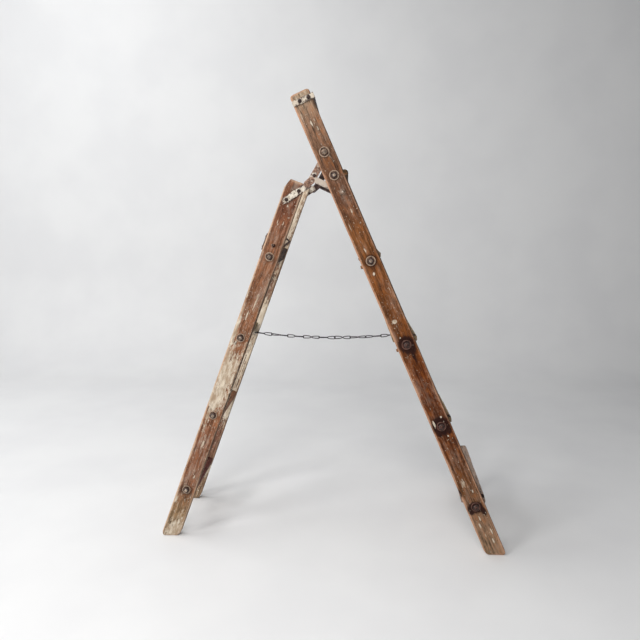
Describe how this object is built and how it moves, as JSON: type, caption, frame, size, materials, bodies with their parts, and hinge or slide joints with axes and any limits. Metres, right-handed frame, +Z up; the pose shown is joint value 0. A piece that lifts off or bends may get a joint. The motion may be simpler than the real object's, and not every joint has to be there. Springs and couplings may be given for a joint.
{
  "type": "sawhorse",
  "caption": "Old weathered wooden folding sawhorse with stepped treads on a tall front frame, a rung frame behind, iron tie rods, strap hinges and a check chain.",
  "frame": {"origin": "on the floor, half way between the feet of the two frames and in the middle of the width", "axes": "+X toward the stepped front frame, +Y toward the side that carries the chain, +Z up"},
  "size_m": [1.2482, 0.5574, 1.5802],
  "materials": {
    "front_wood": "weathered_bare",
    "rear_wood": "weathered_bare",
    "far_wood": "painted_worn",
    "tread_wood": "weathered_bare",
    "grey_wood": "weathered_bare",
    "bar_wood": "weathered_bare",
    "painted_iron": "worn_matte",
    "rusty_iron": "rusted",
    "dark_iron": "rusted",
    "chain_iron": "worn",
    "pin_steel": "worn"
  },
  "bodies": {
    "front_frame": {"front_rail_near": "front_wood", "front_rail_far": "front_wood", "tread_top": "tread_wood", "tread_upper": "tread_wood", "tread_lower": "tread_wood", "tread_bottom": "grey_wood", "front_tie_rods": "rusty_iron", "front_washers": "rusty_iron", "front_nuts": "rusty_iron", "top_crossbar": "painted_iron", "top_crossbar_screws": "dark_iron", "round_crossbar": "bar_wood", "hinge_bracket_near": "painted_iron", "hinge_bracket_far": "rusty_iron", "bracket_bolts": "dark_iron", "bracket_bolt_nuts": "rusty_iron", "hinge_pins": "pin_steel", "edge_pegs": "front_wood", "front_chain_eye": "dark_iron"},
    "rear_frame": {"rear_rail_near": "rear_wood", "rear_rail_far": "far_wood", "rung_top": "rear_wood", "rung_upper": "rear_wood", "rung_lower": "rear_wood", "rung_bottom": "rear_wood", "rear_tie_rods": "rusty_iron", "rear_washers": "rusty_iron", "rear_nuts": "rusty_iron", "hinge_strap_near": "painted_iron", "hinge_strap_far": "painted_iron", "strap_bolts": "dark_iron", "rung_stays": "dark_iron", "edge_plates": "dark_iron", "edge_plate_screws": "dark_iron", "rear_chain_eye": "dark_iron"},
    "chain_rear": {"chain_rear_half": "chain_iron"},
    "chain_front": {"chain_front_half": "chain_iron"}
  },
  "joints": [
    {"name": "fold", "type": "hinge", "parent": "front_frame", "child": "rear_frame", "pos_m": [-0.07473, 0, 1.28156], "axis": [0, -1, 0], "range_deg": [0, 43.9]},
    {"name": "chain_rear_swing", "type": "hinge", "parent": "rear_frame", "child": "chain_rear", "pos_m": [-0.30591, 0.1183, 0.71983], "axis": [-0.1615, 0.9776, -0.1348], "range_deg": [0, 97.85]},
    {"name": "chain_front_swing", "type": "hinge", "parent": "front_frame", "child": "chain_front", "pos_m": [0.26868, 0.21039, 0.69943], "axis": [0.1593, -0.9867, 0.033], "range_deg": [0, 103.96]}
  ],
  "couplings": [
    {"joint": "chain_rear_swing", "follows": "fold", "ratio": 2.2199},
    {"joint": "chain_front_swing", "follows": "fold", "ratio": 2.3589}
  ]
}
